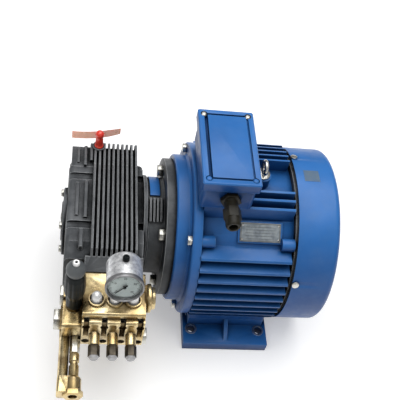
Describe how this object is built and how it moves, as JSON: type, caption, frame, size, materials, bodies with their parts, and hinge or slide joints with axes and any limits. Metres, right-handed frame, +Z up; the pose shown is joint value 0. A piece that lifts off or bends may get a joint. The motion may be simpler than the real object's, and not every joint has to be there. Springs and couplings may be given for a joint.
{
  "type": "pressure washer pump",
  "caption": "Electric triplex plunger pump for a pressure washer: finned foot-mounted motor, bell housing, crankcase, brass head with gauge and unloader.",
  "frame": {"origin": "on the floor at the centre of the four foot holes of the motor", "axes": "+X along the shaft from the pump to the fan, +Z up, -Y towards the front of the pump head"},
  "size_m": [0.384, 0.397, 0.3175],
  "materials": {
    "blue_paint": "glossy enamel over cast and pressed metal",
    "black_casting": "satin black paint over die-cast aluminium",
    "brass": "forged and machined",
    "zinc_steel": "zinc plated",
    "black_steel": "blackened",
    "chrome": "polished",
    "machined_steel": "machined",
    "copper_winding": "enamelled copper wire",
    "cast_iron": "machined casting",
    "rubber": "moulded",
    "black_plastic": "moulded, satin",
    "plate_aluminium": "satin, blank",
    "dial_face": "printed dial",
    "red_plastic": "moulded"
  },
  "bodies": {
    "pump_unit": {"motor_frame": "blue_paint", "motor_feet": "blue_paint", "drive_end_shield": "blue_paint", "fan_end_shield": "blue_paint", "fan_cowl": "blue_paint", "terminal_box": "blue_paint", "terminal_cover": "blue_paint", "coupling_cover": "blue_paint", "bell_housing": "black_casting", "crankcase": "black_casting", "rear_cover": "black_casting", "bearing_cover": "black_casting", "pump_head": "brass", "inlet_fitting": "brass", "unloader_body": "brass", "outlet_block": "brass", "frame_bolts": "zinc_steel", "panel_screws": "zinc_steel", "bell_bolts": "zinc_steel", "crankcase_screws": "zinc_steel", "lifting_eye": "zinc_steel", "gallery_bolts": "zinc_steel", "outlet_nut": "zinc_steel", "suction_caps": "zinc_steel", "head_bolts": "black_steel", "delivery_caps": "chrome", "gauge_case": "chrome", "motor_bearings": "machined_steel", "crank_bearings": "machined_steel", "unloader_spring": "machined_steel", "stator_core": "machined_steel", "stator_windings": "copper_winding", "seals": "rubber", "cable_gland": "black_plastic", "nameplate": "plate_aluminium", "gauge_dial": "dial_face"},
    "drive": {"motor_shaft": "machined_steel", "rotor_core": "machined_steel", "cooling_fan": "black_plastic", "coupling_motor_half": "cast_iron", "coupling_spider": "rubber", "coupling_pump_half": "cast_iron", "crankshaft": "machined_steel"},
    "rod_1": {"connecting_rod_1": "machined_steel"},
    "rod_2": {"connecting_rod_2": "machined_steel"},
    "rod_3": {"connecting_rod_3": "machined_steel"},
    "plunger_1_body": {"plunger_1": "machined_steel"},
    "plunger_2_body": {"plunger_2": "machined_steel"},
    "plunger_3_body": {"plunger_3": "machined_steel"},
    "suction_poppet_1": {"suction_valve_1": "machined_steel"},
    "delivery_poppet_1": {"delivery_valve_1": "machined_steel"},
    "suction_poppet_2": {"suction_valve_2": "machined_steel"},
    "delivery_poppet_2": {"delivery_valve_2": "machined_steel"},
    "suction_poppet_3": {"suction_valve_3": "machined_steel"},
    "delivery_poppet_3": {"delivery_valve_3": "machined_steel"},
    "plate": {"spring_plate": "machined_steel"},
    "knob": {"unloader_knob": "black_plastic"},
    "piston": {"unloader_piston": "machined_steel"},
    "needle": {"gauge_needle": "black_plastic"},
    "oil_plug_body": {"oil_plug": "red_plastic"}
  },
  "joints": [
    {"name": "drive_spin", "type": "hinge", "parent": "pump_unit", "child": "drive", "pos_m": [0, 0, 0.132], "axis": [1, 0, 0], "continuous": true},
    {"name": "rod_1_pivot", "type": "hinge", "parent": "drive", "child": "rod_1", "pos_m": [-0.203, 0, 0.1385], "axis": [1, 0, 0], "continuous": true},
    {"name": "rod_2_pivot", "type": "hinge", "parent": "drive", "child": "rod_2", "pos_m": [-0.179, -0.00563, 0.12875], "axis": [1, 0, 0], "continuous": true},
    {"name": "rod_3_pivot", "type": "hinge", "parent": "drive", "child": "rod_3", "pos_m": [-0.155, 0.00563, 0.12875], "axis": [1, 0, 0], "continuous": true},
    {"name": "plunger_1_stroke", "type": "slide", "parent": "pump_unit", "child": "plunger_1_body", "axis": [0, -1, 0], "range_m": [-0.0065, 0.0065]},
    {"name": "plunger_2_stroke", "type": "slide", "parent": "pump_unit", "child": "plunger_2_body", "axis": [0, -1, 0], "range_m": [-0.0065, 0.0065]},
    {"name": "plunger_3_stroke", "type": "slide", "parent": "pump_unit", "child": "plunger_3_body", "axis": [0, -1, 0], "range_m": [-0.0065, 0.0065]},
    {"name": "suction_valve_1_lift", "type": "slide", "parent": "pump_unit", "child": "suction_poppet_1", "axis": [0, 1, 0], "range_m": [0, 0.003], "stiffness_N_per_m": 100, "springref_m": -0.001},
    {"name": "delivery_valve_1_lift", "type": "slide", "parent": "pump_unit", "child": "delivery_poppet_1", "axis": [0, 0, 1], "range_m": [0, 0.003], "stiffness_N_per_m": 100, "springref_m": -0.001},
    {"name": "suction_valve_2_lift", "type": "slide", "parent": "pump_unit", "child": "suction_poppet_2", "axis": [0, 1, 0], "range_m": [0, 0.003], "stiffness_N_per_m": 100, "springref_m": -0.001},
    {"name": "delivery_valve_2_lift", "type": "slide", "parent": "pump_unit", "child": "delivery_poppet_2", "axis": [0, 0, 1], "range_m": [0, 0.003], "stiffness_N_per_m": 100, "springref_m": -0.001},
    {"name": "suction_valve_3_lift", "type": "slide", "parent": "pump_unit", "child": "suction_poppet_3", "axis": [0, 1, 0], "range_m": [0, 0.003], "stiffness_N_per_m": 100, "springref_m": -0.001},
    {"name": "delivery_valve_3_lift", "type": "slide", "parent": "pump_unit", "child": "delivery_poppet_3", "axis": [0, 0, 1], "range_m": [0, 0.003], "stiffness_N_per_m": 100, "springref_m": -0.001},
    {"name": "spring_plate_travel", "type": "slide", "parent": "pump_unit", "child": "plate", "axis": [0, 0, -1], "range_m": [0, 0.006], "deforming": ["unloader_spring"]},
    {"name": "knob_turn", "type": "hinge", "parent": "plate", "child": "knob", "pos_m": [-0.232, -0.15, 0.2], "axis": [0, 0, 1], "range_deg": [0, 1440]},
    {"name": "unloader_piston_lift", "type": "slide", "parent": "pump_unit", "child": "piston", "axis": [0, 0, 1], "range_m": [0, 0.002], "stiffness_N_per_m": 2000, "springref_m": -0.001, "deforming": ["unloader_spring"]},
    {"name": "gauge_needle_turn", "type": "hinge", "parent": "pump_unit", "child": "needle", "pos_m": [-0.1705, -0.163, 0.222], "axis": [0, 0.9848, -0.1736], "range_deg": [0, 270], "stiffness_Nm_per_rad": 0.0005},
    {"name": "oil_plug_lift", "type": "slide", "parent": "pump_unit", "child": "oil_plug_body", "axis": [0, 0, 1], "range_m": [0, 0.035]}
  ],
  "couplings": [
    {"joint": "rod_1_pivot", "follows": "drive_spin", "ratio": -1},
    {"joint": "rod_2_pivot", "follows": "drive_spin", "ratio": -1},
    {"joint": "rod_3_pivot", "follows": "drive_spin", "ratio": -1},
    {"joint": "knob_turn", "follows": "spring_plate_travel", "rad_per_m": 4188.8}
  ]
}
